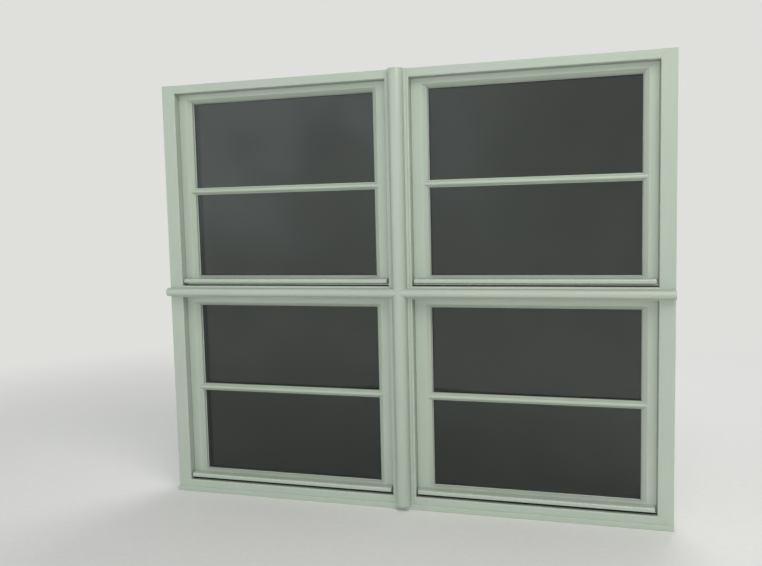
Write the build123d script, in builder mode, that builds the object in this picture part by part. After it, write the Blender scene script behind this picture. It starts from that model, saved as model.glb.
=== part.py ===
from build123d import *
import os

os.makedirs("parts", exist_ok=True)

# A fixed timber frame with a mullion and a transom, and an inward-opening sash in each of its four lights.
# X runs across the window, Y from outside into the room, Z up. The outer face of the frame is at Y 0 and
# its underside at Z 0. X is measured from the middle, and "side" is -1 for the left lights and 1 for the
# right ones, seen from outside. An arris is the front edge of a frame member round a light.

# Frame, seen from outside
frame_width = 1500.0
frame_height = 1280.0
frame_depth = 68.0
jamb_face = 42.0
head_face = 25.0
sill_face = 37.0
mullion_face = 70.0
transom_face = 37.0
transom_middle = 643.5
arris_round = 1.5

# Rebate of the frame: a front lip round each light, then a wider step behind it for the sash
rebate_depth = 30.0
rebate_side = 14.0
rebate_level = 8.0

# Joints of the frame: through tenons in the jambs, stub tenons at the ends of the mullion and the transom
tenon_setback = 12.0
tenon_thickness = 22.0
stub_tenon_length = 12.0
stub_shoulder_side = 14.0
stub_shoulder_level = 8.0

# Mouldings on the mullion and the transom: a half-round on short straight flanks. The one on the mullion
# also has a flat fillet on each side. Below them a strip runs along the foot of the frame.
mullion_moulding_width = 44.0
mullion_moulding_depth = 30.0
mullion_fillet_width = 7.0
mullion_fillet_depth = 4.0
transom_moulding_height = 25.0
transom_moulding_depth = 29.0
foot_strip_height = 15.0
foot_strip_depth = 4.0
foot_strip_round = 1.5

# Sash: three steps from front to back, each wider than the one before
sash_setback = 25.0
sash_front_gap = 3.0
sash_front_gap_level = 2.0
sash_step_side = 5.0
sash_step_level = 3.0
overlap_side = 20.0
overlap_level = 12.0
overlap_gap = 4.0
overlap_thickness = 14.0
overlap_bevel = 2.5

# Joints of the sash: each rail runs through both stiles in a tenon
sash_tenon_setback = 4.0
sash_tenon_thickness = 16.0

# What shows of the sash round the glass, from outside: a flat face, a chamfer and a square return
stile_face_hinge = 23.0
stile_face_lock = 29.0
rail_face_top = 15.0
rail_face_bottom = 21.5
chamfer_side = 14.0
chamfer_top = 9.5
chamfer_foot = 3.5
chamfer_depth = 12.0
glazing_return = 9.0

# Double glazing and the beads that hold it from the room side
pane_thickness = 4.0
pane_gap = 16.0
glass_cover_side = 13.0
glass_cover_level = 9.0
glass_edge_gap = 3.0
spacer_width = 8.0
spacer_inset = 1.5
bead_depth = 14.0
bead_round = 3.0
bead_joint = 0.2

# Glazing bar, one across each pane, outside and inside. The outer one is a flat band as deep as the return,
# and on it a ridge with a rounded crest. The bars lie a little nearer to the transom than the middle of the glass.
bar_height = 21.0
bar_ridge_height = 18.0
bar_ridge_apex = 5.0
bar_crest_radius = 6.0
bar_offset = 3.0
inner_bar_depth = 9.0

# Weather bar across the foot of each sash
weather_end_gap = 6.0
weather_nose_clearance = 9.0
weather_nose_setback = 0.5
weather_fall = 2.5
weather_round = 3.0
drip_radius = 2.0
drip_setback = 7.0

# Gasket between the lip of the frame and the step of the sash
gasket_depth = 4.0
gasket_width = 4.0
gasket_inset = 0.5
gasket_clearance = 0.3

# Hinges: a pin and a lower knuckle on the frame, an upper knuckle on the sash
hinge_axis_out = 29.0
hinge_axis_in = 12.0
hinge_inset = 110.0
knuckle_radius = 8.0
knuckle_length = 30.0
knuckle_gap = 0.3
hinge_pin_radius = 4.0
hinge_pin_clearance = 0.09
hinge_pin_tip = 2.0
frame_leaf_width = 16.0
frame_leaf_thickness = 3.0
frame_leaf_tail = 8.0
sash_leaf_reach = 41.0
sash_leaf_thickness = 3.0
leaf_web_half = 6.0

# Handle on the lock stile, at rest turned level (unlocked)
handle_inset = 27.0
rosette_width = 30.0
rosette_height = 70.0
rosette_thickness = 10.0
rosette_corner = 4.0
rosette_bevel = 2.5
handle_clearance = 0.3
neck_radius = 8.0
neck_length = 20.0
lever_length = 118.0
lever_thickness = 12.0
lever_radius_root = 11.0
lever_radius_tip = 8.5

# Sliding lock rod in the edge of the lock stile, with two cams that go behind keeps on the mullion
rod_width = 16.0
rod_thickness = 4.0
rod_length = 400.0
rod_clearance = 0.3
rod_setback = 16.0
lock_travel = 18.0
cam_radius = 5.0
cam_length = 6.5
cam_spacing = 320.0
keep_plate_thickness = 1.5
keep_plate_width = 22.0
keep_plate_length = 60.0
keep_lip_length = 14.0
keep_lip_reach = 5.5
keep_lip_thickness = 4.0
keep_lip_gap = 0.6

# Fixing holes through the jambs; the two jambs have them at different heights
fixing_radius = 4.0
fixings_left = (190.0, 1090.0)
fixings_right = (230.0, 1050.0)

# Cutters run past the faces they cut by this much
past = 5.0

# Places worked out from the sizes above
arris_lock = mullion_face / 2
arris_hinge = frame_width / 2 - jamb_face
head_line = frame_height - head_face
transom_low = transom_middle - transom_face / 2
transom_high = transom_middle + transom_face / 2
sides = {"left": -1, "right": 1}
rows = {"upper": (transom_high, head_line), "lower": (sill_face, transom_low)}
towards_transom = {"upper": -1, "lower": 1}
lip_depth = frame_depth - rebate_depth
sash_step_depth = lip_depth + gasket_depth
overlap_back = frame_depth + overlap_gap
sash_back = overlap_back + overlap_thickness
chamfer_back = sash_setback + chamfer_depth
glass_front = chamfer_back + glazing_return
pane_inner = glass_front + pane_thickness + pane_gap
glass_back = pane_inner + pane_thickness
sight_lock = arris_lock + sash_front_gap + stile_face_lock + chamfer_side
sight_hinge = arris_hinge - sash_front_gap - stile_face_hinge - chamfer_side
hinge_x = arris_hinge + hinge_axis_out
hinge_axis_depth = frame_depth + hinge_axis_in
handle_x = arris_lock - overlap_side + handle_inset
rod_face = arris_lock - sash_step_side
rod_depth = overlap_back - rod_setback
fixing_depth = (lip_depth + frame_depth) / 2
hole_length = jamb_face - rebate_side


def sight_levels(row):
    """Heights of the lower and upper edge of the visible glass in a row."""
    low, high = rows[row]
    below = sash_front_gap_level + rail_face_bottom + chamfer_foot
    above = sash_front_gap_level + rail_face_top + chamfer_top
    return low + below, high - above


def block(side, across, through, levels, mode=Mode.ADD):
    """Adds or cuts a block between two distances from the middle, two depths and two heights."""
    x_low, x_high = sorted((side * across[0], side * across[1]))
    middle = ((x_low + x_high) / 2, sum(through) / 2, sum(levels) / 2)
    with Locations(middle):
        Box(x_high - x_low, through[1] - through[0], levels[1] - levels[0], mode=mode)


def cut_lights():
    """Cuts the four stepped lights out of the frame member that is being built."""
    for side in sides.values():
        for low, high in rows.values():
            block(side, (arris_lock, arris_hinge), (-past, frame_depth + past), (low, high), Mode.SUBTRACT)
            across = (arris_lock - rebate_side, arris_hinge + rebate_side)
            levels = (low - rebate_level, high + rebate_level)
            block(side, across, (lip_depth, frame_depth + past), levels, Mode.SUBTRACT)


def through_tenon(side, levels, mode):
    """The tenon of the head or the bottom rail, which runs through a jamb."""
    through = (tenon_setback, tenon_setback + tenon_thickness)
    block(side, (arris_hinge, frame_width / 2), through, levels, mode)


def mullion_tenons(mode):
    """The stub tenons at the top and the foot of the mullion."""
    across = (stub_shoulder_side - arris_lock, arris_lock - stub_shoulder_side)
    through = (tenon_setback, tenon_setback + tenon_thickness)
    block(1, across, through, (head_line, head_line + stub_tenon_length), mode)
    block(1, across, through, (sill_face - stub_tenon_length, sill_face), mode)


def transom_tenons(side, mode):
    """The stub tenons of one half of the transom, into the mullion and into the jamb."""
    through = (tenon_setback, tenon_setback + tenon_thickness)
    levels = (transom_low + stub_shoulder_level, transom_high - stub_shoulder_level)
    block(side, (arris_lock - stub_tenon_length, arris_lock), through, levels, mode)
    block(side, (arris_hinge, arris_hinge + stub_tenon_length), through, levels, mode)


def save(builder, name):
    """Labels a finished piece and writes its file."""
    builder.part.label = name
    export_step(builder.part, f"parts/{name}.step")


# Frame members: full-height jambs, with the head, the sill rail and the mullion between them
for name, side, heights in (("left", -1, fixings_left), ("right", 1, fixings_right)):
    with BuildPart() as jamb:
        block(side, (arris_hinge, frame_width / 2), (0, frame_depth), (0, frame_height))
        cut_lights()
        front = jamb.edges().filter_by(Axis.Z).sort_by(Axis.Y)[0:2].sort_by(Axis.X)
        fillet(front[-1] if side < 0 else front[0], arris_round)
        through_tenon(side, (head_line, frame_height), Mode.SUBTRACT)
        through_tenon(side, (0, sill_face), Mode.SUBTRACT)
        transom_tenons(side, Mode.SUBTRACT)
        for height in heights:
            with Locations(Location((side * frame_width / 2, fixing_depth, height), (0, 90, 0))):
                Cylinder(fixing_radius, 2 * (hole_length + past), mode=Mode.SUBTRACT)
    save(jamb, f"{name}_jamb")

with BuildPart() as head:
    block(1, (-arris_hinge, arris_hinge), (0, frame_depth), (head_line, frame_height))
    cut_lights()
    fillet(head.edges().filter_by(Axis.X).group_by(Axis.Y)[0].sort_by(Axis.Z)[0], arris_round)
    mullion_tenons(Mode.SUBTRACT)
    for side in sides.values():
        through_tenon(side, (head_line, frame_height), Mode.ADD)
save(head, "head")

with BuildPart() as sill_rail:
    block(1, (-arris_hinge, arris_hinge), (0, frame_depth), (0, sill_face))
    cut_lights()
    fillet(sill_rail.edges().filter_by(Axis.X).group_by(Axis.Y)[0].sort_by(Axis.Z)[-1], arris_round)
    mullion_tenons(Mode.SUBTRACT)
    for side in sides.values():
        through_tenon(side, (0, sill_face), Mode.ADD)
save(sill_rail, "sill_rail")

with BuildPart() as mullion:
    block(1, (-arris_lock, arris_lock), (0, frame_depth), (sill_face, head_line))
    cut_lights()
    fillet(mullion.edges().filter_by(Axis.Z).group_by(Axis.Y)[0], arris_round)
    mullion_tenons(Mode.ADD)
    for side in sides.values():
        transom_tenons(side, Mode.SUBTRACT)
save(mullion, "mullion")

for name, side in sides.items():
    with BuildPart() as transom:
        block(side, (arris_lock, arris_hinge), (0, frame_depth), (transom_low, transom_high))
        cut_lights()
        fillet(transom.edges().filter_by(Axis.X).group_by(Axis.Y)[0], arris_round)
        transom_tenons(side, Mode.ADD)
    save(transom, f"{name}_transom")


# Mouldings: the one on the mullion runs through, and the two on the transom are scribed over it
def mullion_profile():
    """The section of the mullion's moulding, drawn on top of the foot strip."""
    half = mullion_moulding_width / 2
    edge = half + mullion_fillet_width
    flank = half - mullion_moulding_depth
    with BuildSketch(Plane.XY.offset(foot_strip_height)) as profile:
        with BuildLine():
            Polyline(
                (half, flank),
                (half, -mullion_fillet_depth),
                (edge, -mullion_fillet_depth),
                (edge, 0),
                (-edge, 0),
                (-edge, -mullion_fillet_depth),
                (-half, -mullion_fillet_depth),
                (-half, flank),
            )
            ThreePointArc((-half, flank), (0, -mullion_moulding_depth), (half, flank))
        make_face()
    return profile.sketch


with BuildPart() as mullion_moulding:
    extrude(mullion_profile(), amount=frame_height - foot_strip_height)
save(mullion_moulding, "mullion_moulding")

for name, side in sides.items():
    with BuildPart() as moulding:
        foot = transom_middle - transom_moulding_height / 2
        top = transom_middle + transom_moulding_height / 2
        flank = transom_moulding_height / 2 - transom_moulding_depth
        with BuildSketch(Plane.YZ):
            with BuildLine():
                Polyline((flank, top), (0, top), (0, foot), (flank, foot))
                ThreePointArc((flank, foot), (-transom_moulding_depth, transom_middle), (flank, top))
            make_face()
        extrude(amount=side * frame_width / 2)
        extrude(mullion_profile(), amount=frame_height - foot_strip_height, mode=Mode.SUBTRACT)
    save(moulding, f"{name}_transom_moulding")

with BuildPart() as foot_strip:
    block(1, (-frame_width / 2, frame_width / 2), (-foot_strip_depth, 0), (0, foot_strip_height))
    fillet(foot_strip.edges().filter_by(Axis.X).group_by(Axis.Y)[0].sort_by(Axis.Z)[-1], foot_strip_round)
save(foot_strip, "foot_strip")

with BuildPart() as frame_gaskets:
    for side in sides.values():
        for low, high in rows.values():
            depths = (lip_depth, sash_step_depth - gasket_clearance)
            outer = gasket_inset + gasket_width
            block(side, (arris_lock - outer, arris_hinge + outer), depths, (low - outer, high + outer))
            levels = (low - gasket_inset, high + gasket_inset)
            across = (arris_lock - gasket_inset, arris_hinge + gasket_inset)
            block(side, across, depths, levels, Mode.SUBTRACT)
save(frame_gaskets, "frame_gaskets")


# Sashes
def sash_ring(side, row):
    """Adds the whole timber of one sash: three steps, the glazing chamfer and the rebate for the glass."""
    low, high = rows[row]
    sight_low, sight_high = sight_levels(row)
    across = (arris_lock - overlap_side, arris_hinge + overlap_side)
    block(side, across, (overlap_back, sash_back), (low - overlap_level, high + overlap_level))
    chamfer(edges().group_by(Axis.Y)[-1], overlap_bevel)
    across = (arris_lock - sash_step_side, arris_hinge + sash_step_side)
    block(side, across, (sash_step_depth, overlap_back), (low - sash_step_level, high + sash_step_level))
    across = (arris_lock + sash_front_gap, arris_hinge - sash_front_gap)
    levels = (low + sash_front_gap_level, high - sash_front_gap_level)
    block(side, across, (sash_setback, sash_step_depth), levels)
    block(side, (sight_lock, sight_hinge), (0, glass_front), (sight_low, sight_high), Mode.SUBTRACT)
    across = (sight_lock - glass_cover_side, sight_hinge + glass_cover_side)
    levels = (sight_low - glass_cover_level, sight_high + glass_cover_level)
    block(side, across, (glass_front, sash_back + past), levels, Mode.SUBTRACT)
    chamfer_space(side, row, Mode.SUBTRACT)


def chamfer_space(side, row, mode):
    """The flared space in front of the return, which cuts the chamfer of the sash and trims the glazing bar."""
    sight_low, sight_high = sight_levels(row)
    middle = side * (sight_lock + sight_hinge) / 2
    width = sight_hinge - sight_lock
    height = sight_high - sight_low
    with BuildSketch(Plane.XZ.offset(-chamfer_back)) as at_return:
        with Locations((middle, (sight_low + sight_high) / 2)):
            Rectangle(width, height)
    with BuildSketch(Plane.XZ.offset(-sash_setback)) as at_face:
        with Locations((middle, (sight_low - chamfer_foot + sight_high + chamfer_top) / 2)):
            Rectangle(width + 2 * chamfer_side, height + chamfer_foot + chamfer_top)
    loft([at_return.sketch, at_face.sketch], mode=mode)


def rod_slot(side, row, extra, travel, mode):
    """Adds or cuts a bar in the edge of the lock stile; the slot has the rod's travel below it."""
    middle = sum(rows[row]) / 2 + lock_travel / 2
    across = (rod_face - past * (mode == Mode.SUBTRACT), rod_face + rod_thickness + extra)
    through = (rod_depth - rod_width / 2 - extra, rod_depth + rod_width / 2 + extra)
    levels = (middle - rod_length / 2 - travel - extra, middle + rod_length / 2 + extra)
    block(side, across, through, levels, mode)


def sash_tenons(side, row, mode):
    """The tenons of both rails of one sash, which run through its stiles to their edges."""
    low, high = rows[row]
    sight_low, sight_high = sight_levels(row)
    through = (sash_step_depth + sash_tenon_setback, sash_step_depth + sash_tenon_setback + sash_tenon_thickness)
    foot = (low - sash_step_level, sight_low - glass_cover_level)
    top = (sight_high + glass_cover_level, high + sash_step_level)
    for levels in (foot, top):
        block(side, (arris_lock - sash_step_side, sight_lock), through, levels, mode)
        block(side, (sight_hinge, arris_hinge + sash_step_side), through, levels, mode)


for row in rows:
    low, high = rows[row]
    sash_middle = (low + high) / 2
    sight_low, sight_high = sight_levels(row)
    bar_level = (sight_low + sight_high) / 2 + towards_transom[row] * bar_offset
    for name, side in sides.items():
        sash = f"{row}_{name}"
        far = (-frame_height, 2 * frame_height)

        # Timber: the stiles run the full height and the rails fit between them at the sight lines
        with BuildPart() as stiles:
            sash_ring(side, row)
            block(side, (sight_lock, sight_hinge), (0, sash_back + past), far, Mode.SUBTRACT)
            rod_slot(side, row, rod_clearance, lock_travel, Mode.SUBTRACT)
            sash_tenons(side, row, Mode.SUBTRACT)
        save(stiles, f"{sash}_stiles")
        with BuildPart() as rails:
            sash_ring(side, row)
            block(side, (sight_lock, sight_hinge), (0, sash_back + past), far, Mode.INTERSECT)
            sash_tenons(side, row, Mode.ADD)
        save(rails, f"{sash}_rails")

        # Weather bar: sloped top, rounded nose and a drip groove under it
        nose_low = low + weather_nose_clearance
        top_back = sight_low - chamfer_foot
        ends = sorted((side * (arris_lock + weather_end_gap), side * (arris_hinge - weather_end_gap)))
        with BuildPart() as weather_bar:
            with BuildSketch(Plane.YZ.offset(ends[0])) as profile:
                with BuildLine():
                    Polyline(
                        (sash_setback, nose_low),
                        (sash_setback, top_back),
                        (weather_nose_setback, top_back - weather_fall),
                        (weather_nose_setback, nose_low),
                        close=True,
                    )
                make_face()
                fillet(profile.vertices().sort_by(Axis.X)[0:2], weather_round)
                with Locations((weather_nose_setback + drip_setback, nose_low)):
                    Circle(drip_radius, mode=Mode.SUBTRACT)
            extrude(amount=ends[1] - ends[0])
        save(weather_bar, f"{sash}_weather_bar")

        # Glazing: two panes and the spacer between their edges
        glass_across = (
            sight_lock - glass_cover_side + glass_edge_gap,
            sight_hinge + glass_cover_side - glass_edge_gap,
        )
        glass_levels = (
            sight_low - glass_cover_level + glass_edge_gap,
            sight_high + glass_cover_level - glass_edge_gap,
        )
        with BuildPart() as panes:
            block(side, glass_across, (glass_front, glass_front + pane_thickness), glass_levels)
            block(side, glass_across, (pane_inner, glass_back), glass_levels)
        save(panes, f"{sash}_panes")
        with BuildPart() as spacer:
            depths = (glass_front + pane_thickness, pane_inner)
            edge = spacer_inset
            across = (glass_across[0] + edge, glass_across[1] - edge)
            block(side, across, depths, (glass_levels[0] + edge, glass_levels[1] - edge))
            edge = spacer_inset + spacer_width
            across = (glass_across[0] + edge, glass_across[1] - edge)
            levels = (glass_levels[0] + edge, glass_levels[1] - edge)
            block(side, across, depths, levels, Mode.SUBTRACT)
        save(spacer, f"{sash}_spacer")

        # Glazing bars: the ridge of the outer one is trimmed to the chamfer, so that its ends run out in points
        with BuildPart() as glazing_bars:
            run_out = chamfer_side + past
            ends = sorted((side * (sight_lock - run_out), side * (sight_hinge + run_out)))
            foot = bar_level - bar_ridge_height / 2
            top = bar_level + bar_ridge_height / 2
            with BuildSketch(Plane.YZ.offset(ends[0])) as ridge:
                with BuildLine():
                    Polyline(
                        (chamfer_back, foot),
                        (sash_setback - bar_ridge_apex, bar_level),
                        (chamfer_back, top),
                        close=True,
                    )
                make_face()
                fillet(ridge.vertices().sort_by(Axis.X)[0], bar_crest_radius)
            extrude(amount=ends[1] - ends[0])
            chamfer_space(side, row, Mode.INTERSECT)
            levels = (bar_level - bar_height / 2, bar_level + bar_height / 2)
            block(side, (sight_lock, sight_hinge), (chamfer_back, glass_front), levels)
            block(side, (sight_lock, sight_hinge), (glass_back, glass_back + inner_bar_depth), levels)
        save(glazing_bars, f"{sash}_glazing_bars")

        # Glazing beads round the room side of the glass, cut square where they meet
        wall_across = (sight_lock - glass_cover_side, sight_hinge + glass_cover_side)
        wall_levels = (sight_low - glass_cover_level, sight_high + glass_cover_level)
        with BuildPart() as beads:
            depths = (glass_back, glass_back + bead_depth)
            block(side, wall_across, depths, wall_levels)
            block(side, (sight_lock, sight_hinge), depths, (sight_low, sight_high), Mode.SUBTRACT)
            inner = beads.edges().group_by(Axis.Y)[-1].sort_by_distance(
                (side * (sight_lock + sight_hinge) / 2, glass_back, bar_level)
            )
            fillet(inner[0:4], bead_round)
            for level, step in ((sight_low, -bead_joint), (sight_high, bead_joint)):
                cut = sorted((level, level + step))
                block(side, wall_across, depths, cut, Mode.SUBTRACT)
        save(beads, f"{sash}_beads")

        # Hinges
        hinge_levels = (low + hinge_inset, high - hinge_inset)
        with BuildPart() as hinge_leaves:
            for level in hinge_levels:
                start = level + knuckle_gap / 2
                with Locations((side * hinge_x, hinge_axis_depth, start + knuckle_length / 2)):
                    Cylinder(knuckle_radius, knuckle_length)
                depths = (sash_back, sash_back + sash_leaf_thickness)
                block(side, (hinge_x - sash_leaf_reach, hinge_x), depths, (start, start + knuckle_length))
            for level in hinge_levels:
                with Locations((side * hinge_x, hinge_axis_depth, level + knuckle_length / 2)):
                    bore = hinge_pin_radius + hinge_pin_clearance
                    Cylinder(bore, 2 * knuckle_length, mode=Mode.SUBTRACT)
        save(hinge_leaves, f"{sash}_hinge_leaves")

        # Handle: a fixed rosette and a tapered lever that points to the middle of the sash when unlocked
        with BuildPart() as rosette:
            with BuildSketch(Plane.XZ.offset(-sash_back)) as outline:
                with Locations((side * handle_x, sash_middle)):
                    Rectangle(rosette_width, rosette_height)
                chamfer(outline.vertices(), rosette_corner)
            extrude(amount=-rosette_thickness)
            chamfer(rosette.faces().sort_by(Axis.Y)[-1].edges(), rosette_bevel)
        save(rosette, f"{sash}_rosette")
        neck_start = sash_back + rosette_thickness + handle_clearance
        with BuildPart() as handle:
            with BuildSketch(Plane.XZ.offset(-neck_start - neck_length)):
                with Locations((side * handle_x, sash_middle)):
                    Circle(lever_radius_root)
                with Locations((side * (handle_x + lever_length), sash_middle)):
                    Circle(lever_radius_tip)
                make_hull()
            extrude(amount=-lever_thickness)
            with BuildSketch(Plane.XZ.offset(-neck_start)):
                with Locations((side * handle_x, sash_middle)):
                    Circle(neck_radius)
            extrude(amount=-neck_length)
        save(handle, f"{sash}_handle")

        # Lock rod with its cams, shown unlocked: it slides down to lock
        with BuildPart() as lock_rod:
            rod_slot(side, row, 0, 0, Mode.ADD)
            middle = sash_middle + lock_travel / 2
            for level in (middle - cam_spacing / 2, middle + cam_spacing / 2):
                cam_middle = side * (rod_face - cam_length / 2)
                with Locations(Location((cam_middle, rod_depth, level), (0, 90, 0))):
                    Cylinder(cam_radius, cam_length)
        save(lock_rod, f"{sash}_lock_rod")

# Frame halves of the hinges, with their pins
with BuildPart() as frame_hinge_leaves:
    for side in sides.values():
        for low, high in rows.values():
            for level in (low + hinge_inset, high - hinge_inset):
                top = level - knuckle_gap / 2
                foot = top - knuckle_length
                with Locations((side * hinge_x, hinge_axis_depth, (top + foot) / 2)):
                    Cylinder(knuckle_radius, knuckle_length)
                pin_top = level + knuckle_length - hinge_pin_tip
                with Locations((side * hinge_x, hinge_axis_depth, (foot + pin_top) / 2)):
                    Cylinder(hinge_pin_radius, pin_top - foot)
                web = (hinge_x - leaf_web_half, hinge_x + leaf_web_half)
                block(side, web, (frame_depth, hinge_axis_depth), (foot, top))
                leaf = (hinge_x - frame_leaf_width / 2, hinge_x + frame_leaf_width / 2)
                depths = (frame_depth, frame_depth + frame_leaf_thickness)
                block(side, leaf, depths, (foot - frame_leaf_tail, top))
save(frame_hinge_leaves, "frame_hinge_leaves")

# Keeps on the mullion: a plate, and a lip that stands behind the cam once the rod is down
with BuildPart() as keeps:
    seat = arris_lock - rebate_side
    for side in sides.values():
        for low, high in rows.values():
            middle = (low + high) / 2 + lock_travel / 2
            for level in (middle - cam_spacing / 2, middle + cam_spacing / 2):
                locked = level - lock_travel
                plate_middle = (level + locked) / 2
                levels = (plate_middle - keep_plate_length / 2, plate_middle + keep_plate_length / 2)
                depths = (rod_depth - keep_plate_width / 2, rod_depth + keep_plate_width / 2)
                block(side, (seat, seat + keep_plate_thickness), depths, levels)
                lip = rod_depth + cam_radius + keep_lip_gap
                across = (seat, seat + keep_plate_thickness + keep_lip_reach)
                levels = (locked - keep_lip_length / 2, locked + keep_lip_length / 2)
                block(side, across, (lip, lip + keep_lip_thickness), levels)
save(keeps, "keeps")
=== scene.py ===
import math

import bmesh
import bpy
import numpy as np
from mathutils import Matrix, Vector


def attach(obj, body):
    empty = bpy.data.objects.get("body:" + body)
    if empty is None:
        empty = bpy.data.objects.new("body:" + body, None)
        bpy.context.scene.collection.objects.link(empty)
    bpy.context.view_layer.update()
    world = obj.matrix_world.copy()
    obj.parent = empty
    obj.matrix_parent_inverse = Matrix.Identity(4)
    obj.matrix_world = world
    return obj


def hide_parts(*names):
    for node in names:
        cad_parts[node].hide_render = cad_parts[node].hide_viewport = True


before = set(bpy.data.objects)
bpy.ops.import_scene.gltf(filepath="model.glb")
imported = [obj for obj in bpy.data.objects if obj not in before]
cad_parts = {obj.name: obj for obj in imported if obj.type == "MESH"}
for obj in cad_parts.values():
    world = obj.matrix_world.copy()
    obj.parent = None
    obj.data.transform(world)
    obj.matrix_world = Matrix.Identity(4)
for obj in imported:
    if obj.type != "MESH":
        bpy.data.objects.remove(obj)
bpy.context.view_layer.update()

# A painted timber window with four inward-opening sashes. X runs across it, Y from outside into the room,
# Z up, in metres. "side" is -1 for the left sashes and 1 for the right ones, seen from outside.
MM = 0.001
SIDES = {"left": -1, "right": 1}

# Sizes that the solids have too, in millimetres; those across are measured from the window's middle
FRAME_HALF = 750.0
FRAME_HEIGHT = 1280.0
FRAME_DEPTH = 68.0
LIP_DEPTH = 38.0
REBATE_SIDE = 14.0
REBATE_LEVEL = 8.0
FIXING_RADIUS = 4.0
FIXINGS = {"left": (190.0, 1090.0), "right": (230.0, 1050.0)}
ARRIS_LOCK = 35.0
ARRIS_HINGE = 708.0
ROW_LEVELS = {"upper": (662.0, 1255.0), "lower": (37.0, 625.0)}
TRANSOM_MIDDLE = 643.5
MOULDING_HALF = 22.0
FILLET_HALF = 29.0
FILLET_DEPTH = 4.0
CROSS_MOULDING_HALF = 12.5
CROSS_MOULDING_DEPTH = 29.0
FOOT_STRIP = (4.0, 15.0)
SIGHT_LOCK = 81.0
SIGHT_HINGE = 668.0
SIGHT_ABOVE_FOOT = 27.0
SIGHT_BELOW_HEAD = 26.5
SASH_FACE = 25.0
CHAMFER_BACK = 37.0
GLASS_FRONT = 46.0
GLASS_BACK = 70.0
BEAD_BACK = 84.0
SASH_STEP = 42.0
OVERLAP_FRONT = 72.0
SASH_BACK = 86.0
ROD_POCKET = (47.7, 64.3, 34.3)
ROD_HALF = 200.3
ROD_TRAVEL = 18.0
BAR_HALF = 10.5
RIDGE_HALF = 9.0
RIDGE_APEX = 20.0
RIDGE_ROUND = 6.0
BAR_SHIFT = {"upper": -3.0, "lower": 3.0}
INNER_BAR_BACK = 79.0
WEATHER_ENDS = (41.0, 702.0)
WEATHER_NOSE = 0.5
WEATHER_CLEAR = 9.0
WEATHER_FALL = 2.5
DRIP_RADIUS = 2.0
DRIP_BEHIND_NOSE = 7.0
HINGE_X = 737.0
HINGE_DEPTH = 80.0
HINGE_INSET = 110.0
HINGE_PLAY = 0.15
KNUCKLE_RADIUS = 8.0
KNUCKLE_LENGTH = 30.0
PIN_RADIUS = 4.0
PIN_LENGTH = 58.0
LEAF_THICK = 3.0
HANDLE_X = 42.0
ROSETTE_HALF = (15.0, 35.0)
ROSETTE_BACK = 96.0
NECK_START = 96.3
LEVER_FRONT = 116.3
LEVER_BACK = 128.3
LEVER_LENGTH = 118.0
KEEP_SEAT = 22.5
KEEP_DEPTH = 56.0
CAM_HALF_SPACING = 160.0

# Edges of a sash and of the frame round it: distances outwards from the glass on the lock, hinge, foot and
# head side
CHAMFER = (14.0, 14.0, 3.5, 9.5)
REBATE = (13.0, 13.0, 9.0, 9.0)
LIP_FACE = (46.0, 40.0, 27.0, 26.5)
STEP_EDGE = (51.0, 45.0, 30.0, 29.5)
OVERLAP_EDGE = (66.0, 60.0, 39.0, 38.5)

# Sizes of the scene alone, in millimetres. The sashes reach closer to the frame's lip than the solids do,
# and the mullion's moulding is as deep as the facets of the solid.
FRONT_EDGE = (44.5, 38.5, 24.6, 25.3)
MOULDING_DEPTH = 29.92
ARRIS_ROUND = 4.0
ARRIS_STEPS = 8
LEAST_ARRIS = 0.6
ARRIS_WEAR_AND_HIGHLIGHT = 0.7
HOLE_BLOCK_HALF = 10.0
# The head and the foot rail end this much inside the ends of the jambs, so that no two faces share a plane
TUCK = 0.05
# A piece that meets another runs into it by this much
OVERRUN = 0.2
SCRIBE_OVERRUN = 0.3
ROUND_STEPS = 5
SHARP_DEGREES = 38
SEAL_GAP = 0.2
SEAL_DEPTHS = (1.4, 2.2, 6.0, 7.0)
RAIL_FRONT = 18.5
RAIL_THICK = 1.8
RAIL_LEVELS = (3.0, 5.6)
RAIL_CLEAR = 0.3
SEALANT_REACH = 1.8
SEALANT_THICK = 2.4

# Camera, taken from the perspective of the photograph; angles are in radians, the focal length in pixels
IMAGE_WIDTH = 762
FOCAL_LENGTH = 780.5
CAMERA_PLACE = (0.5734, -2.1768, 0.8702)
CAMERA_YAW = 0.2822
CAMERA_PITCH = -0.0872
CAMERA_ROLL = -0.0230
SENSOR_WIDTH = 36.0

# Studio, in metres
FLOOR_RADIUS = 14.0
FLOOR_DROP = 0.5 * MM
FLOOR_FADE = (1.5, 3.6)
PANEL_ACROSS = (-3.0, 0.35)
PANEL_UP = (0.25, 2.55)
PANEL_DEPTH = -3.1
PANEL_GLOW = 1.7
BACKGROUND = (0.74, 0.74, 0.72)
WORLD_LIGHT = (0.42, 0.44, 0.46)
LAMP_TARGET = (0.0, 0.0, 0.6)
# Each lamp: name, place, width, power in watts, colour, and whether mirrors and glass show it
LAMPS = (
    ("key", (1.6, -2.1, 3.3), 2.0, 64, (1.0, 0.98, 0.95), True),
    ("side", (-3.7, -2.2, 1.5), 1.6, 14, (0.94, 0.97, 1.0), True),
    ("front", (0.1, -5.2, 0.85), 1.8, 96, (1.0, 1.0, 0.98), False),
    ("back", (0.6, 2.8, 2.9), 2.4, 56, (1.0, 1.0, 1.0), True),
)


def srgb(red, green, blue):
    """The linear colour of three display values from 0 to 255."""
    values = np.array([red, green, blue]) / 255
    linear = np.where(values <= 0.04045, values / 12.92, ((values + 0.055) / 1.055) ** 2.4)
    return (*linear.tolist(), 1.0)


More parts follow.
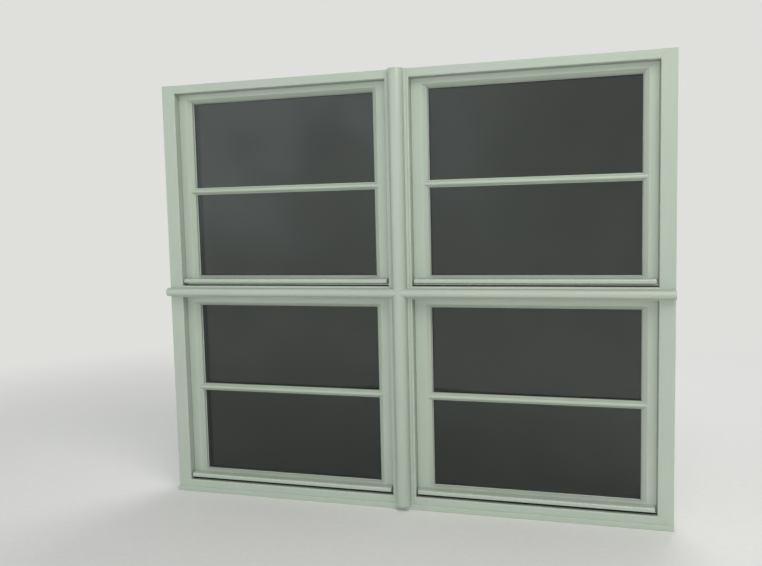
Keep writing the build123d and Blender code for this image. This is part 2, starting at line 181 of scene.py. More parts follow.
def make_camera():
    """A camera whose axes are the heading turned by yaw, pitch and roll."""
    heading = Vector((
        -math.sin(CAMERA_YAW) * math.cos(CAMERA_PITCH),
        math.cos(CAMERA_YAW) * math.cos(CAMERA_PITCH),
        math.sin(CAMERA_PITCH),
    ))
    level = Vector((math.cos(CAMERA_YAW), math.sin(CAMERA_YAW), 0))
    upright = level.cross(heading)
    across = level * math.cos(CAMERA_ROLL) + upright * math.sin(CAMERA_ROLL)
    above = upright * math.cos(CAMERA_ROLL) - level * math.sin(CAMERA_ROLL)
    data = bpy.data.cameras.new("camera")
    data.sensor_width = SENSOR_WIDTH
    data.lens = SENSOR_WIDTH * FOCAL_LENGTH / IMAGE_WIDTH
    data.clip_end = 100
    camera = bpy.data.objects.new("camera", data)
    bpy.context.scene.collection.objects.link(camera)
    axes = Matrix((across, above, -heading)).transposed().to_4x4()
    camera.matrix_world = Matrix.Translation(CAMERA_PLACE) @ axes
    bpy.context.scene.camera = camera


# Shader nodes
def put(tree, kind, properties=None, sockets=None):
    """Adds a shader node with its properties; a socket takes a value or a link from another node."""
    node = tree.nodes.new("ShaderNode" + kind)
    for name, value in (properties or {}).items():
        setattr(node, name, value)
    for name, value in (sockets or {}).items():
        if isinstance(value, bpy.types.NodeSocket):
            tree.links.new(value, node.inputs[name])
        else:
            node.inputs[name].default_value = value
    return node


def sum_of(tree, *terms):
    """Adds up terms, each a socket times a number, and numbers."""
    parts = [times(tree, *term) if isinstance(term, tuple) else term for term in terms]
    total = parts[0]
    for part in parts[1:]:
        total = put(tree, "Math", {"operation": "ADD"}, {0: total, 1: part}).outputs[0]
    return total


def times(tree, first, second):
    """The product of two values."""
    return put(tree, "Math", {"operation": "MULTIPLY"}, {0: first, 1: second}).outputs[0]


def blend_colour(tree, share, first, second, way="MIX"):
    """Mixes two colours by a share."""
    node = put(tree, "Mix", {"data_type": "RGBA", "blend_type": way}, {0: share, 6: first, 7: second})
    return node.outputs[2]


def ramp(tree, value, low, high, first=0.0, second=1.0):
    """Maps low to high smoothly onto first to second."""
    node = put(
        tree, "MapRange", {"interpolation_type": "SMOOTHSTEP"},
        {0: value, 1: low, 2: high, 3: first, 4: second},
    )
    return node.outputs[0]


def noise(tree, vector, scale, detail=2.0, roughness=0.5):
    """A noise value from 0 to 1 on a vector."""
    node = put(
        tree, "TexNoise", None,
        {"Vector": vector, "Scale": scale, "Detail": detail, "Roughness": roughness},
    )
    return node.outputs[0]


def stretched(tree, scales):
    """Object coordinates multiplied by a number for each axis, given or wired."""
    place = put(tree, "TexCoord").outputs["Object"]
    return put(tree, "VectorMath", {"operation": "MULTIPLY"}, {0: place, 1: scales}).outputs[0]


def new_group(name, first, second):
    """A node group that takes two colours and a grain, and gives a colour, a roughness and a height."""
    tree = bpy.data.node_groups.new(name, "ShaderNodeTree")
    taken = ((first, "Color"), (second, "Color"), ("Grain", "Vector"))
    given = (("Colour", "Color"), ("Roughness", "Float"), ("Height", "Float"))
    for way, sockets in (("INPUT", taken), ("OUTPUT", given)):
        for label, kind in sockets:
            tree.interface.new_socket(label, in_out=way, socket_type="NodeSocket" + kind)
    start = tree.nodes.new("NodeGroupInput")
    end = tree.nodes.new("NodeGroupOutput")
    return tree, start.outputs, end.inputs


def brushed_paint_group():
    """Paint laid on timber with a brush: streaks along the grain, soft clouds of tone, wear on the arrises
    that the mesh marks, which is lighter paint and also a painted highlight along them, and a paler tint
    where a face looks up, which is dust and also painted light from above."""
    tree, given, result = new_group("brushed_paint", "Paint", "Worn Paint")
    grain = stretched(tree, given["Grain"])
    bristles = noise(tree, grain, 9.0, 3.0, 0.6)
    streaks = noise(tree, grain, 1.3, 2.0)
    even = stretched(tree, (1.0, 1.0, 1.0))
    clouds = noise(tree, even, 2.2, 2.0)
    speckle = noise(tree, even, 160.0, 2.0)
    peel = noise(tree, even, 900.0, 1.0)
    tone = sum_of(tree, (clouds, 0.16), (streaks, 0.09), (bristles, 0.05), 0.85)
    grey = put(tree, "CombineColor", None, {0: tone, 1: tone, 2: tone}).outputs[0]
    tinted = blend_colour(tree, 1.0, given["Paint"], grey, "MULTIPLY")
    # Arrises that the mesh marks get lighter paint: wear, and also a painted highlight along the rounded
    # arrises
    arris = put(tree, "Attribute", {"attribute_name": "arris"}).outputs["Fac"]
    worn_and_highlit = times(tree, arris, ramp(tree, speckle, 0.40, 0.66))
    colour = blend_colour(tree, times(tree, worn_and_highlit, 0.6), tinted, given["Worn Paint"])
    normal = put(tree, "NewGeometry").outputs["Normal"]
    upward = put(tree, "SeparateXYZ", None, {0: normal}).outputs[2]
    # Faces that look up are blended towards a paler colour: dust, and also painted light from above that
    # makes the ledges as bright as the front faces
    dust_and_top_light = times(tree, ramp(tree, upward, 0.55, 0.95), ramp(tree, noise(tree, even, 24.0, 4.0), 0.35, 0.7))
    colour = blend_colour(tree, times(tree, dust_and_top_light, 0.28), colour, srgb(190, 186, 168))
    tree.links.new(colour, result["Colour"])
    gloss = sum_of(tree, (streaks, 0.10), (peel, 0.05), (dust_and_top_light, 0.22), (worn_and_highlit, 0.10), 0.27)
    tree.links.new(gloss, result["Roughness"])
    height = sum_of(tree, (bristles, 0.55), (peel, 0.22), (speckle, 0.10), (dust_and_top_light, 0.15))
    tree.links.new(height, result["Height"])
    return tree


def brushed_metal_group():
    """Rolled or ground metal: fine scratches along one way, a cloudy sheen and small dull spots."""
    tree, given, result = new_group("brushed_metal", "Metal", "Dull Metal")
    scratches = noise(tree, stretched(tree, given["Grain"]), 1.0, 3.0, 0.65)
    even = stretched(tree, (1.0, 1.0, 1.0))
    clouds = noise(tree, even, 34.0, 3.0)
    spots = ramp(tree, noise(tree, even, 420.0, 2.0), 0.60, 0.74)
    dull = sum_of(tree, (spots, 0.5), (ramp(tree, clouds, 0.45, 0.75), 0.45))
    tree.links.new(blend_colour(tree, dull, given["Metal"], given["Dull Metal"]), result["Colour"])
    tree.links.new(sum_of(tree, (scratches, 0.16), (dull, 0.16), 0.20), result["Roughness"])
    tree.links.new(sum_of(tree, (scratches, 0.8), (spots, -0.3)), result["Height"])
    return tree


def moulded_group():
    """Rubber or sealant: a fine skin with pores, a soft bloom and dust in patches."""
    tree, given, result = new_group("moulded_skin", "Skin", "Bloom")
    even = stretched(tree, given["Grain"])
    bloom = ramp(tree, noise(tree, even, 0.06, 4.0), 0.38, 0.72)
    pores = ramp(tree, noise(tree, even, 1.0, 2.0), 0.52, 0.70)
    colour = blend_colour(tree, times(tree, bloom, 0.5), given["Skin"], given["Bloom"])
    tree.links.new(colour, result["Colour"])
    tree.links.new(sum_of(tree, (bloom, 0.18), (pores, 0.12), 0.52), result["Roughness"])
    tree.links.new(sum_of(tree, (pores, -0.6), (bloom, 0.3)), result["Height"])
    return tree


def bare_material(name):
    """A material with its Principled BSDF and nothing else set."""
    material = bpy.data.materials.new(name)
    material.use_nodes = True
    return material, material.node_tree, material.node_tree.nodes["Principled BSDF"]


def covered(name, group, colours, grain, depth, **fixed):
    """A material whose colour, roughness and bump come from a node group; "fixed" sets the shader's own
    sockets."""
    material, tree, shader = bare_material(name)
    cover = put(tree, "Group", {"node_tree": group})
    for label, value in (*colours.items(), ("Grain", grain)):
        cover.inputs[label].default_value = value
    tree.links.new(cover.outputs["Colour"], shader.inputs["Base Color"])
    tree.links.new(cover.outputs["Roughness"], shader.inputs["Roughness"])
    height = cover.outputs["Height"]
    bump = put(tree, "Bump", None, {"Height": height, "Distance": depth, "Strength": 1.0})
    tree.links.new(bump.outputs[0], shader.inputs["Normal"])
    for label, value in fixed.items():
        shader.inputs[label.replace("_", " ")].default_value = value
    return material


PAINT = {"Paint": srgb(165, 176, 162), "Worn Paint": srgb(198, 203, 191)}
STEEL = {"Metal": srgb(186, 188, 190), "Dull Metal": srgb(140, 142, 142)}
ALUMINIUM = {"Metal": srgb(200, 201, 203), "Dull Metal": srgb(168, 170, 172)}
RAIL_METAL = {"Metal": srgb(196, 198, 184), "Dull Metal": srgb(172, 176, 162)}
RUBBER = {"Skin": srgb(34, 35, 34), "Bloom": srgb(62, 64, 60)}
SEALANT = {"Skin": srgb(166, 172, 162), "Bloom": srgb(184, 188, 178)}
LIP_RUBBER = {"Skin": srgb(158, 167, 156), "Bloom": srgb(176, 182, 172)}
GRAIN_UP = (160.0, 160.0, 5.0)
GRAIN_ACROSS = (5.0, 160.0, 160.0)
PAINT_DEPTH = 0.10 * MM
VARNISH = {"Coat_Weight": 0.10, "Coat_Roughness": 0.25}


def glass_material():
    """Window glass, tinted dark as painted shade for the unlit room behind it, with a faint film of dust that
    dulls it and shifts the tint in patches."""
    material, tree, shader = bare_material("window_glass")
    film = noise(tree, stretched(tree, (1.0, 1.0, 1.0)), 7.0, 4.0)
    # The dark tint is painted shade of the unlit room; the dust film moves it between two dark greys
    shaded_dusty_tint = blend_colour(tree, film, srgb(112, 119, 116), srgb(127, 131, 124))
    tree.links.new(shaded_dusty_tint, shader.inputs["Base Color"])
    tree.links.new(ramp(tree, film, 0.5, 0.8, 0.0, 0.03), shader.inputs["Roughness"])
    shader.inputs["Transmission Weight"].default_value = 1.0
    shader.inputs["IOR"].default_value = 1.45
    return material


# Studio
def seen_directly(tree):
    """1 for rays that come from the camera, a reflection or a refraction, and 0 for all others."""
    path = put(tree, "LightPath").outputs
    shown = path["Is Camera Ray"]
    for way in ("Is Glossy Ray", "Is Transmission Ray"):
        shown = put(tree, "Math", {"operation": "MAXIMUM"}, {0: shown, 1: path[way]}).outputs[0]
    return shown


def empty_material(name):
    """A material with no shader, and its node tree."""
    material = bpy.data.materials.new(name)
    material.use_nodes = True
    material.node_tree.nodes.clear()
    return material, material.node_tree


def stage_face(name, corners, material):
    """One flat face that belongs to the studio."""
    mesh = bpy.data.meshes.new(name)
    mesh.from_pydata(corners, [], [list(range(len(corners)))])
    mesh.materials.append(material)
    face = bpy.data.objects.new(name, mesh)
    bpy.context.scene.collection.objects.link(face)


def make_world():
    """A soft grey light from all round. What is seen directly is the pale background."""
    world = bpy.data.worlds.new("studio")
    bpy.context.scene.world = world
    world.use_nodes = True
    tree = world.node_tree
    tree.nodes.clear()
    light = put(tree, "Background", None, {0: (*WORLD_LIGHT, 1.0), 1: 1.0})
    shown = put(tree, "Background", None, {0: (*BACKGROUND, 1.0), 1: 1.0})
    mix = put(tree, "MixShader", None, {0: seen_directly(tree), 1: light.outputs[0], 2: shown.outputs[0]})
    put(tree, "OutputWorld", None, {0: mix.outputs[0]})


def make_floor():
    """A round pale floor that turns into the background with its distance from the window."""
    material, tree = empty_material("floor")
    even = stretched(tree, (1.0, 1.0, 1.0))
    speck = noise(tree, even, 60.0, 3.0)
    colour = blend_colour(tree, speck, srgb(222, 221, 217), srgb(230, 229, 225))
    matt = put(tree, "BsdfDiffuse", None, {0: colour})
    glow = put(tree, "Emission", None, {0: (*BACKGROUND, 1.0), 1: 1.0})
    distance = put(tree, "VectorMath", {"operation": "LENGTH"}, {0: even}).outputs["Value"]
    far = times(tree, ramp(tree, distance, *FLOOR_FADE), seen_directly(tree))
    mix = put(tree, "MixShader", None, {0: far, 1: matt.outputs[0], 2: glow.outputs[0]})
    put(tree, "OutputMaterial", None, {0: mix.outputs[0]})
    turns = np.linspace(0, 2 * np.pi, 96, endpoint=False)
    rim = np.stack([np.cos(turns), np.sin(turns), 0 * turns], 1) * FLOOR_RADIUS
    rim[:, 2] = -FLOOR_DROP
    stage_face("floor", rim.tolist(), material)


def make_panel():
    """A tall screen behind the camera that only reflections see. Its glow is a smooth step of the distance
    from its edges, with soft clouds, so that the panes hold a calm gradient and no hard outline."""
    material, tree = empty_material("panel")
    (left, right), (foot, top) = PANEL_ACROSS, PANEL_UP
    place = stretched(tree, (1.0, 1.0, 1.0))
    across, _, up = put(tree, "SeparateXYZ", None, {0: place}).outputs
    mask = times(tree, ramp(tree, across, left, left + 0.5), ramp(tree, across, right, right - 1.3))
    mask = times(tree, mask, ramp(tree, up, foot, foot + 0.9))
    mask = times(tree, mask, ramp(tree, up, top, top - 0.4))
    mask = times(tree, mask, ramp(tree, noise(tree, place, 1.1, 2.0), 0.32, 0.60, 0.35, 1.0))
    mirrored = times(tree, mask, put(tree, "LightPath").outputs["Is Glossy Ray"])
    clear = put(tree, "BsdfTransparent")
    glow = put(tree, "Emission", None, {0: (0.86, 0.90, 0.95, 1.0), 1: PANEL_GLOW})
    mix = put(tree, "MixShader", None, {0: mirrored, 1: clear.outputs[0], 2: glow.outputs[0]})
    put(tree, "OutputMaterial", None, {0: mix.outputs[0]})
    corners = [(x, PANEL_DEPTH, z) for x, z in ((left, foot), (left, top), (right, top), (right, foot))]
    stage_face("panel", corners, material)


def make_lamps():
    """Large square lamps that face the window. Those that are mirrored show in metal and glass."""
    for name, place, width, power, colour, mirrored in LAMPS:
        data = bpy.data.lights.new(name, "AREA")
        data.shape = "SQUARE"
        data.size = width
        data.energy = power
        data.color = colour
        lamp = bpy.data.objects.new(name, data)
        bpy.context.scene.collection.objects.link(lamp)
        lamp.visible_glossy = mirrored
        lamp.visible_transmission = mirrored
        lamp.location = place
        lamp.rotation_euler = (Vector(LAMP_TARGET) - Vector(place)).to_track_quat("-Z", "Y").to_euler()


# Shapes: each is an array of points in millimetres, a list of faces and the wear of each point from 0 to 1,
# which also paints a highlight along the arrises
AXES = {
    "x": ((0, 1, 0), (0, 0, 1), (1, 0, 0)),
    "y": ((1, 0, 0), (0, 0, 1), (0, 1, 0)),
    "z": ((1, 0, 0), (0, 1, 0), (0, 0, 1)),
}


def grid_faces(rows, columns, wrap_rows=False):
    """Quads over a grid of points numbered row by row. The last column joins the first one, and so does the
    last row where rows wrap."""
    row, column = np.meshgrid(np.arange(rows - (not wrap_rows)), np.arange(columns), indexing="ij")
    next_row, next_column = (row + 1) % rows, (column + 1) % columns
    corners = (
        row * columns + column, row * columns + next_column,
        next_row * columns + next_column, next_row * columns + column,
    )
    return np.stack(corners, -1).reshape(-1, 4).tolist()


def closed_faces(rows, count):
    """Quads over rows of a closed section, and a face over the section at each end."""
    return grid_faces(rows, count) + [list(range(count)), list(range((rows - 1) * count, rows * count))]


def wrapped(points):
    """The shape of a grid of points whose last column joins its first, with no worn or highlit arris."""
    rows, count = points.shape[:2]
    return points.reshape(-1, 3), grid_faces(rows, count), np.zeros(rows * count)


def soften(corners, radii, steps=ROUND_STEPS):
    """Rounds the corners of a closed line. The corner P becomes (1 - t)^2 A + 2t(1 - t) P + t^2 B for t from
    0 to 1, where A and B lie on its two sides at the radius from P, or at 0.45 of a shorter side."""
    corners = np.asarray(corners, float)
    radii = np.broadcast_to(np.asarray(radii, float), len(corners))[:, None]
    ends = []
    for way in (1, -1):
        step = np.roll(corners, way, 0) - corners
        length = np.maximum(np.linalg.norm(step[:, :2], axis=1, keepdims=True), 1e-9)
        ends.append(corners + step * np.minimum(radii / length, 0.45))
    t = np.linspace(0, 1, steps)[None, :, None]
    line = (1 - t) ** 2 * ends[0][:, None] + 2 * t * (1 - t) * corners[:, None] + t ** 2 * ends[1][:, None]
    wear_and_highlight = np.sin(np.pi * t[..., 0]) * (radii > 0)
    return line.reshape(-1, corners.shape[1]), wear_and_highlight.reshape(-1)


def arc(radius, first, last, count, centre):
    """Points centre + r(cos a, sin a) for angles a in degrees from the first to the last."""
    angle = np.radians(np.linspace(first, last, count))
    return np.stack([centre[0] + radius * np.cos(angle), centre[1] + radius * np.sin(angle)], 1)


def carried(section, start, stop, axis, wear_and_highlight=0.0, rounding=0.0, steps=4):
    """A closed section carried along an axis. Start and stop are one place each, or one for each point of
    the section where its end is cut to a slope or scribed over another piece. At a rounded end the section
    shrinks along its normals by r(1 - cos a) while it stands r(1 - sin a) short of the end, for a from 0 to
    90 degrees."""
    section = np.asarray(section, float)
    count = len(section)
    after = np.roll(section, -1, 0)
    tangent = after - np.roll(section, 1, 0)
    normal = np.stack([tangent[:, 1], -tangent[:, 0]], 1)
    normal /= np.maximum(np.linalg.norm(normal, axis=1, keepdims=True), 1e-9)
    turning = np.sign(np.sum(section[:, 0] * after[:, 1] - section[:, 1] * after[:, 0]))
    angle = np.linspace(0, np.pi / 2, steps) if rounding else np.zeros(1)
    shrink = rounding * (1 - np.cos(angle))
    short = rounding * (1 - np.sin(angle)) if rounding else np.zeros(1)
    shrink = np.concatenate([shrink[::-1], shrink])[:, None, None]
    across = section - normal * turning * shrink
    start, stop = np.broadcast_to(start, count), np.broadcast_to(stop, count)
    along = np.concatenate([start + short[::-1, None], stop - short[:, None]])
    first, second, third = np.array(AXES[axis], float)
    points = across[..., :1] * first + across[..., 1:] * second + along[..., None] * third
    bend = np.abs(np.sin(2 * np.concatenate([angle[::-1], angle])))[:, None] * (rounding > 0)
    worn_and_highlit = np.maximum(np.broadcast_to(wear_and_highlight, count)[None], bend)
    return points.reshape(-1, 3), closed_faces(len(along), count), worn_and_highlit.reshape(-1)


def turned(section, centre, axis, count=40):
    """A section of radii r and heights h carried round an axis: centre + r cos a, r sin a and h along its
    axes."""
    radius, height = np.asarray(section, float).T[:, :, None, None]
    first, second, third = np.array(AXES[axis], float)
    angle = np.linspace(0, 2 * np.pi, count, endpoint=False)[:, None]
    around = np.cos(angle) * first + np.sin(angle) * second
    return wrapped(np.array(centre) + radius * around + height * third)


def screw_head(centre, axis, radius):
    """A low dome with a crossed slot: at the distance r the height is 0.28 R (1 - (r/R)^2), and within the
    arms of the cross it is less by 0.3 R times a smooth step of the distance from the arm's edge."""
    rings, count = 9, 40
    share = np.linspace(0, 1, rings)[:, None]
    angle = np.linspace(0, 2 * np.pi, count, endpoint=False)[None]
    one, two = share * np.cos(angle), share * np.sin(angle)
    arms = np.minimum(np.abs(one), np.abs(two))
    reach = np.maximum(np.abs(one), np.abs(two))
    cut = np.clip((0.17 - arms) / 0.07, 0, 1) * np.clip((0.62 - reach) / 0.12, 0, 1)
    height = radius * (0.28 * (1 - share ** 2) - 0.30 * cut)
    flat = np.zeros((1, count))
    one, two = np.concatenate([one, flat]), np.concatenate([two, flat])
    height = np.concatenate([height, flat - 0.05])
    first, second, third = np.array(AXES[axis], float)
    points = radius * (one[..., None] * first + two[..., None] * second) + height[..., None] * third
    return wrapped(points + np.array(centre))


def plate(low, high, start, stop, axis, corner, edge):
    """A flat plate: a rectangle with rounded corners carried along an axis, with rounded edges."""
    (left, foot), (right, top) = low, high
    section, _ = soften([(left, foot), (right, foot), (right, top), (left, top)], corner)
    return carried(section, start, stop, axis, 0.0, edge)


def ring(columns, opening, wear_and_highlight):
    """A closed frame round an opening. Each column of the section is a depth and four distances outwards
    from the opening's lock, hinge, foot and head side, and makes a rectangle of four corners."""
    depth, lock, hinge, foot, top = np.asarray(columns, float).T
    across = np.stack([opening[0] - lock, opening[1] + hinge, opening[1] + hinge, opening[0] - lock], 1)
    levels = np.stack([opening[2] - foot, opening[2] - foot, opening[3] + top, opening[3] + top], 1)
    points = np.stack([across, np.repeat(depth[:, None], 4, 1), levels], -1)
    return points.reshape(-1, 3), grid_faces(len(depth), 4, True), np.repeat(wear_and_highlight, 4)


def along_path(path, depth, wear_and_highlight):
    """A section of depths carried through the corners of a path. Each corner gives the section's places
    across and its heights there, and both ends are closed."""
    points = np.stack([np.stack(np.broadcast_arrays(x, depth, z), -1) for x, z in path])
    rows, count = points.shape[:2]
    return points.reshape(-1, 3), closed_faces(rows, count), np.tile(wear_and_highlight, rows)


def sash_member(columns, opening, member, wear_and_highlight):
    """One side of a sash. The section's columns are as in a ring. A stile follows them along a path of three
    runs, from shoulder to corner to corner to shoulder, and a rail along the run between its shoulders."""
    depth, lock, hinge, foot, top = np.asarray(columns, float).T
    low, high = opening[2] - foot, opening[3] + top
    if member == "lock":
        edge = opening[0] - lock
        path = ((opening[0], low), (edge, low), (edge, high), (opening[0], high))
    elif member == "hinge":
        edge = opening[1] + hinge
        path = ((opening[1], low), (edge, low), (edge, high), (opening[1], high))
    else:
        level = low if member == "foot" else high
        path = ((opening[0], level), (opening[1], level))
    return along_path(path, depth, wear_and_highlight)


def sink(shape, face, mouth, floor):
    """Sinks a pocket into one quad of a shape: four quads round its mouth, four walls and a floor."""
    points, faces, wear_and_highlight = shape
    faces = list(faces)
    rim = faces.pop(face)
    outer = list(range(len(points), len(points) + 4))
    inner = [number + 4 for number in outer]
    for one, two in ((0, 1), (1, 2), (2, 3), (3, 0)):
        faces.append([rim[one], rim[two], outer[two], outer[one]])
        faces.append([outer[one], outer[two], inner[two], inner[one]])
    faces.append(inner)
    return np.concatenate([points, mouth, floor]), faces, np.concatenate([wear_and_highlight, np.zeros(8)])


def together(shapes):
    """Several shapes as one."""
    starts = np.cumsum([0] + [len(points) for points, _, _ in shapes]).tolist()
    faces = [
        [number + start for number in face]
        for (_, some, _), start in zip(shapes, starts)
        for face in some
    ]
    points, _, wear_and_highlight = zip(*shapes)
    return np.concatenate(points), faces, np.concatenate(wear_and_highlight)


def opposite(shape, side):
    """A shape of the right half on a side: -1 mirrors it."""
    points, faces, wear_and_highlight = shape
    return points * (side, 1, 1), faces, wear_and_highlight


def make_piece(name, shapes, side, material, body, slot, *nodes):
    """A mesh from shapes of the right half; side -1 mirrors them. Points that coincide are merged, faces are
    turned outwards, and sharp edges stay sharp."""
    points, faces, wear_and_highlight = opposite(together(shapes), side)
    mesh = bpy.data.meshes.new(name)
    mesh.from_pydata((points * MM).tolist(), [], faces)
    mesh.attributes.new("arris", "FLOAT", "POINT").data.foreach_set("value", wear_and_highlight.astype(np.float32))
    work = bmesh.new()
    work.from_mesh(mesh)
    bmesh.ops.remove_doubles(work, verts=work.verts, dist=0.005 * MM)
    bmesh.ops.recalc_face_normals(work, faces=work.faces)
    work.to_mesh(mesh)
    work.free()
    mesh.shade_smooth()
    mesh.set_sharp_from_angle(angle=math.radians(SHARP_DEGREES))
    mesh.materials.append(material)
    piece = bpy.data.objects.new(name, mesh)
    bpy.context.scene.collection.objects.link(piece)
    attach(piece, body)
    if nodes:
        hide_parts(*nodes)


def sash_piece(sash, side, name, shapes, material, slot, *nodes):
    """A piece that rides on a sash and stands in for some of the sash's nodes."""
    nodes = [f"{sash}_{node}" for node in nodes]
    make_piece(f"{sash}_{name}", shapes, side, material, f"{sash}_sash", slot, *nodes)


make_camera()
make_world()
make_floor()
make_panel()
make_lamps()
bpy.context.scene.view_settings.view_transform = "Standard"

paint_group = brushed_paint_group()
metal_group = brushed_metal_group()
skin_group = moulded_group()
paint_up = covered("paint_upright", paint_group, PAINT, GRAIN_UP, PAINT_DEPTH, **VARNISH)
paint_across = covered("paint_level", paint_group, PAINT, GRAIN_ACROSS, PAINT_DEPTH, **VARNISH)
steel = covered("plated_steel", metal_group, STEEL, (900.0, 900.0, 40.0), 0.03 * MM, Metallic=1.0)
handle_metal = covered("handle_metal", metal_group, ALUMINIUM, (60.0, 900.0, 900.0), 0.03 * MM, Metallic=1.0)
spacer_metal = covered("spacer_metal", metal_group, ALUMINIUM, (700.0,) * 3, 0.02 * MM, Metallic=1.0)
rail_metal = covered("rail_metal", metal_group, RAIL_METAL, (8.0, 900.0, 900.0), 0.02 * MM, Metallic=1.0)
rubber = covered("gasket_rubber", skin_group, RUBBER, (900.0,) * 3, 0.05 * MM)
sealant = covered("glazing_sealant", skin_group, SEALANT, (600.0,) * 3, 0.08 * MM)
seal = covered("lip_seal", skin_group, LIP_RUBBER, (700.0,) * 3, 0.05 * MM)
glass = glass_material()


# The fixed frame
def timber_block(across, through, levels, axis="z", arris=(0, 0, 0, 0)):
    """A member's block between two distances, depths and heights, carried along an axis with its section's
    corners softened; "arris" gives their radii from the first distance and depth round the section."""
    first, second, run = {"z": (across, through, levels), "x": (through, levels, across)}[axis]
    corners = [(first[0], second[0]), (first[1], second[0]), (first[1], second[1]), (first[0], second[1])]
    section, wear_and_highlight = soften(corners, arris, ARRIS_STEPS)
    return carried(section, *run, axis, wear_and_highlight * ARRIS_WEAR_AND_HIGHLIGHT)


def pierced_block(across, through, level, half):
    """A block with a round hole along X, as two halves that meet at the level of its axis: each is carried
    along X with a section whose one side is half the circle r(cos a, sin a)."""
    front, back = through
    shapes = []
    for way in (1, -1):
        circle = arc(FIXING_RADIUS, 0, 180, 17, ((front + back) / 2, 0)) * (1, way) + (0, level)
        end = level + way * half
        outer = [(front, level), (front, end), (back, end), (back, level)]
        shapes.append(carried(np.concatenate([circle, outer]), *across, "x"))
    return shapes


def jamb_timber(name, lip, back, cheek, steps):
    """A jamb: its front lip, its back with two fixing holes, and the rebate's cheek, which is filled in where
    a rail or a transom meets it."""
    rounds = (ARRIS_ROUND, LEAST_ARRIS, 0, 0)
    shapes = [timber_block((ARRIS_HINGE, FRAME_HALF), lip, (0, FRAME_HEIGHT), "z", rounds)]
    across, level, half = (cheek, FRAME_HALF), 0.0, HOLE_BLOCK_HALF
    for hole in FIXINGS[name]:
        shapes.append(timber_block(across, back, (level, hole - half)))
        shapes += pierced_block(across, back, hole, half)
        level = hole + half
    shapes.append(timber_block(across, back, (level, FRAME_HEIGHT)))
    shapes += [timber_block((ARRIS_HINGE, cheek), back, levels) for levels in steps]
    return shapes


def frame_timber():
    """The fixed frame: each member is a front lip with rounded arrises and a back part that is set out by
    the rebate. A lip runs over the rounding of the member that it meets, where that falls back."""
    lip, back = (0, LIP_DEPTH), (LIP_DEPTH, FRAME_DEPTH)
    inner, cheek = ARRIS_LOCK - REBATE_SIDE, ARRIS_HINGE + REBATE_SIDE
    sill_top, transom_foot = ROW_LEVELS["lower"]
    transom_top, head_foot = ROW_LEVELS["upper"]
    crossing = (transom_foot + REBATE_LEVEL, transom_top - REBATE_LEVEL)
    low_step, high_step = sill_top - REBATE_LEVEL, head_foot + REBATE_LEVEL
    big = ARRIS_ROUND

    for name, side in SIDES.items():
        jamb = jamb_timber(name, lip, back, cheek, ((0, low_step), crossing, (high_step, FRAME_HEIGHT)))
        make_piece(f"{name}_jamb_timber", jamb, side, paint_up, "frame", "paint", f"{name}_jamb")
        across = (ARRIS_LOCK - big, ARRIS_HINGE + big)
        transom = [
            timber_block(across, lip, (transom_foot, transom_top), "x", (big, 0, 0, big)),
            timber_block((ARRIS_LOCK, ARRIS_HINGE), back, crossing, "x"),
        ]
        node = f"{name}_transom"
        make_piece(f"{node}_timber", transom, side, paint_across, "frame", "paint", node)

    across, span = (-ARRIS_HINGE - big, ARRIS_HINGE + big), (-ARRIS_HINGE, ARRIS_HINGE)
    head = [
        timber_block(across, lip, (head_foot, FRAME_HEIGHT - TUCK), "x", (big, 0, 0, LEAST_ARRIS)),
        timber_block(span, back, (high_step, FRAME_HEIGHT), "x"),
        timber_block((-inner, inner), back, (head_foot, high_step), "x"),
    ]
    make_piece("head_timber", head, 1, paint_across, "frame", "paint", "head")
    sill = [
        timber_block(across, lip, (TUCK, sill_top), "x", (0, 0, 0, big)),
        timber_block(span, back, (0, low_step), "x"),
        timber_block((-inner, inner), back, (low_step, sill_top), "x"),
    ]
    make_piece("sill_timber", sill, 1, paint_across, "frame", "paint", "sill_rail")

    levels = (sill_top - big, head_foot + big)
    mullion = [
        timber_block((-ARRIS_LOCK, ARRIS_LOCK), lip, levels, "z", (big, big, 0, 0)),
        timber_block((-inner, inner), back, (sill_top, head_foot)),
    ]
    for side in SIDES.values():
        mullion.append(timber_block(sorted((side * inner, side * ARRIS_LOCK)), back, crossing))
    make_piece("mullion_timber", mullion, 1, paint_up, "frame", "paint", "mullion")


def scribe(depth):
    """Half the width of the mullion's moulding at a depth in front of the frame: the fillet, then the
    straight flank, then the root of r^2 - (depth - flank)^2."""
    flank = MOULDING_DEPTH - MOULDING_HALF
    curve = np.sqrt(np.maximum(MOULDING_HALF ** 2 - np.maximum(depth - flank, 0) ** 2, 0))
    return np.where(depth < FILLET_DEPTH, FILLET_HALF, curve)


def mullion_moulding():
    """The half-round on the mullion: a flat fillet at each side, straight flanks and half a circle."""
    flank = MOULDING_HALF - MOULDING_DEPTH
    half, wide, thin = MOULDING_HALF, FILLET_HALF, -FILLET_DEPTH
    corners = [
        (half, flank), (half, thin), (wide, thin), (wide, 0),
        (-wide, 0), (-wide, thin), (-half, thin), (-half, flank),
    ]
    hollow, outer = 0.8, 1.2
    foot, wear_and_highlight = soften(corners, (0, hollow, outer, 0, 0, outer, hollow, 0))
    crest = arc(half, 180, 360, 49, (0, flank))
    section = np.concatenate([foot, crest])
    wear_and_highlight = np.concatenate([wear_and_highlight, np.zeros(len(crest))])
    shape = carried(section, FOOT_STRIP[1], FRAME_HEIGHT, "z", wear_and_highlight, 0.6)
    make_piece("mullion_half_round", [shape], 1, paint_up, "frame", "paint", "mullion_moulding")


